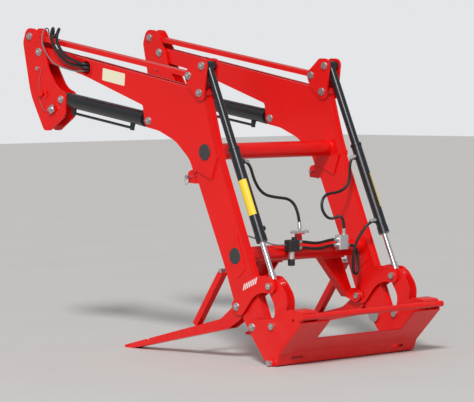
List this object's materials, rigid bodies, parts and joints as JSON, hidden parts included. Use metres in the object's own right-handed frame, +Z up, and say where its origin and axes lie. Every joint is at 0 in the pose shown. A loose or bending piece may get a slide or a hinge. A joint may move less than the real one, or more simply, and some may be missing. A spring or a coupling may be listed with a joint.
{
  "type": "tractor front loader attachment",
  "caption": "Red tractor front loader with two goose-neck arms, tube cross-members, levelling rods, lift and tilt cylinders, a quick-attach carrier and folding parking stands",
  "frame": {"origin": "on the ground under the middle of the loader", "axes": "X from the tractor to the implement, Y to the left arm, Z up"},
  "size_m": [2.5063, 1.13, 1.8902],
  "materials": {
    "red_paint": "gloss",
    "chrome_rod": "polished",
    "zinc_steel": "satin",
    "silver_block": "satin",
    "black_plastic": "matte",
    "black_paint": "gloss",
    "plug_plastic": "satin",
    "black_rubber": "matte",
    "grey_cable": "matte"
  },
  "bodies": {
    "consoles": {"console_right": "red_paint", "console_left": "red_paint", "console_lock_pins": "red_paint", "console_bolts": "zinc_steel", "boom_pivot_pins": "zinc_steel", "levelling_rear_pins": "zinc_steel", "lift_rear_pins": "zinc_steel", "supply_coupler": "black_plastic", "supply_hoses": "black_rubber", "supply_cable": "grey_cable"},
    "boom": {"boom_arm_right": "red_paint", "boom_arm_left": "red_paint", "lift_front_pins": "zinc_steel", "upper_cross_tube": "red_paint", "lower_cross_tube": "red_paint", "tube_plugs": "plug_plastic", "diagonal_struts": "red_paint", "storage_brackets": "red_paint", "storage_pins": "zinc_steel", "brace_brackets": "red_paint", "brace_pins": "zinc_steel", "crank_pivot_pins": "zinc_steel", "manifold_block": "silver_block", "hydraulic_mounts": "red_paint", "control_valve": "black_plastic", "valve_coil": "silver_block", "coil_cap": "black_plastic", "tower_clamp": "zinc_steel", "hose_fittings": "zinc_steel", "link_hoses": "black_rubber", "tilt_hoses": "black_rubber", "signal_cable": "grey_cable", "hose_grommet": "red_paint"},
    "levelling_rods": {"levelling_rods": "red_paint"},
    "lift_barrels": {"lift_barrels": "black_paint", "lift_pipes": "black_paint"},
    "lift_rods": {"lift_rods": "chrome_rod"},
    "bell_cranks": {"bell_cranks": "red_paint", "levelling_front_pins": "zinc_steel", "tilt_top_pins": "zinc_steel"},
    "tilt_barrels": {"tilt_barrels": "black_paint"},
    "tilt_rods": {"tilt_rods": "chrome_rod"},
    "lever_pins": {"lever_pivot_pins": "zinc_steel"},
    "guide_levers": {"guide_levers": "red_paint", "lever_end_pins": "zinc_steel"},
    "carrier_pins": {"carrier_pivot_pins": "zinc_steel"},
    "carrier": {"carrier_side_right": "red_paint", "carrier_side_left": "red_paint", "carrier_front_plate": "red_paint", "carrier_top_bar": "red_paint", "carrier_bottom_tube": "red_paint", "link_end_pins": "zinc_steel"},
    "links": {"carrier_links": "red_paint"},
    "lock_pin_right": {"lock_pin_right": "zinc_steel"},
    "lock_pin_left": {"lock_pin_left": "zinc_steel"},
    "stand_leg_right": {"stand_leg_right": "red_paint"},
    "stand_leg_left": {"stand_leg_left": "red_paint"},
    "stand_brace_right": {"stand_brace_right": "red_paint"},
    "stand_brace_left": {"stand_brace_left": "red_paint"}
  },
  "joints": [
    {"name": "boom_lift", "type": "hinge", "parent": "consoles", "child": "boom", "pos_m": [-1.1, 0, 1.738], "axis": [0, -1, 0], "range_deg": [0, 65], "deforming": ["supply_hoses", "supply_cable"]},
    {"name": "levelling_rod_hinge", "type": "hinge", "parent": "consoles", "child": "levelling_rods", "pos_m": [-1.192, 0, 1.835], "axis": [0, -1, 0], "range_deg": [-0.5, 65.5]},
    {"name": "lift_barrel_hinge", "type": "hinge", "parent": "consoles", "child": "lift_barrels", "pos_m": [-0.884, 0, 1.45], "axis": [0, -1, 0], "range_deg": [-0.5, 67.11]},
    {"name": "lift_rod_slide", "type": "slide", "parent": "lift_barrels", "child": "lift_rods", "axis": [0.9886, 0, -0.1504], "range_m": [-0.002, 0.3769]},
    {"name": "bell_crank_hinge", "type": "hinge", "parent": "boom", "child": "bell_cranks", "pos_m": [0.393, 0, 1.485], "axis": [0, -1, 0], "range_deg": [-65.5, 0.5]},
    {"name": "tilt_barrel_hinge", "type": "hinge", "parent": "bell_cranks", "child": "tilt_barrels", "pos_m": [0.417, 0, 1.636], "axis": [0, -1, 0], "range_deg": [-0.5, 61.6], "deforming": ["tilt_hoses"]},
    {"name": "tilt_rod_slide", "type": "slide", "parent": "tilt_barrels", "child": "tilt_rods", "axis": [0.4098, 0, -0.9122], "range_m": [-0.0821, 0.0554]},
    {"name": "lever_pin_hinge", "type": "hinge", "parent": "boom", "child": "lever_pins", "pos_m": [0.69, 0, 0.306], "axis": [0, -1, 0], "range_deg": [-30.83, 0.02]},
    {"name": "guide_lever_hinge", "type": "hinge", "parent": "lever_pins", "child": "guide_levers", "pos_m": [0.69, 0, 0.306], "axis": [0, -1, 0], "range_deg": [-11.1, 16.4]},
    {"name": "carrier_pin_hinge", "type": "hinge", "parent": "boom", "child": "carrier_pins", "pos_m": [0.832, 0, 0.203], "axis": [0, -1, 0], "range_deg": [-64.59, 0.5]},
    {"name": "carrier_tilt", "type": "hinge", "parent": "carrier_pins", "child": "carrier", "pos_m": [0.832, 0, 0.203], "axis": [0, -1, 0], "range_deg": [-20, 30]},
    {"name": "link_hinge", "type": "hinge", "parent": "guide_levers", "child": "links", "pos_m": [0.957, 0, 0.434], "axis": [0, -1, 0], "range_deg": [-8.9, 6.1]},
    {"name": "lock_pin_slide_right", "type": "slide", "parent": "carrier", "child": "lock_pin_right", "axis": [0, 1, 0], "range_m": [0, 0.05]},
    {"name": "stand_leg_hinge_right", "type": "hinge", "parent": "boom", "child": "stand_leg_right", "pos_m": [0.69, 0, 0.306], "axis": [0, 1, 0], "range_deg": [0, 75]},
    {"name": "stand_brace_hinge_right", "type": "hinge", "parent": "boom", "child": "stand_brace_right", "pos_m": [0.531, 0, 0.494], "axis": [0, 1, 0], "range_deg": [-0.5, 114.5]},
    {"name": "lock_pin_slide_left", "type": "slide", "parent": "carrier", "child": "lock_pin_left", "axis": [0, -1, 0], "range_m": [0, 0.05]},
    {"name": "stand_leg_hinge_left", "type": "hinge", "parent": "boom", "child": "stand_leg_left", "pos_m": [0.69, 0, 0.306], "axis": [0, 1, 0], "range_deg": [0, 75]},
    {"name": "stand_brace_hinge_left", "type": "hinge", "parent": "boom", "child": "stand_brace_left", "pos_m": [0.531, 0, 0.494], "axis": [0, 1, 0], "range_deg": [-0.5, 114.5]}
  ],
  "couplings": [
    {"joint": "levelling_rod_hinge", "follows": "boom_lift", "ratio": 1},
    {"joint": "lift_barrel_hinge", "follows": "boom_lift", "ratio": 1.0248},
    {"joint": "lift_rod_slide", "follows": "boom_lift", "m_per_rad": 0.3305},
    {"joint": "bell_crank_hinge", "follows": "boom_lift", "ratio": -1},
    {"joint": "tilt_barrel_hinge", "follows": "boom_lift", "ratio": 0.94},
    {"joint": "tilt_rod_slide", "follows": "carrier_tilt", "m_per_rad": -0.153},
    {"joint": "lever_pin_hinge", "follows": "boom_lift", "ratio": -0.474},
    {"joint": "guide_lever_hinge", "follows": "carrier_tilt", "ratio": 0.53},
    {"joint": "carrier_pin_hinge", "follows": "boom_lift", "ratio": -0.986},
    {"joint": "link_hinge", "follows": "carrier_tilt", "ratio": -0.28},
    {"joint": "stand_brace_hinge_right", "follows": "stand_leg_hinge_right", "ratio": 1.52},
    {"joint": "stand_brace_hinge_left", "follows": "stand_leg_hinge_left", "ratio": 1.52}
  ]
}
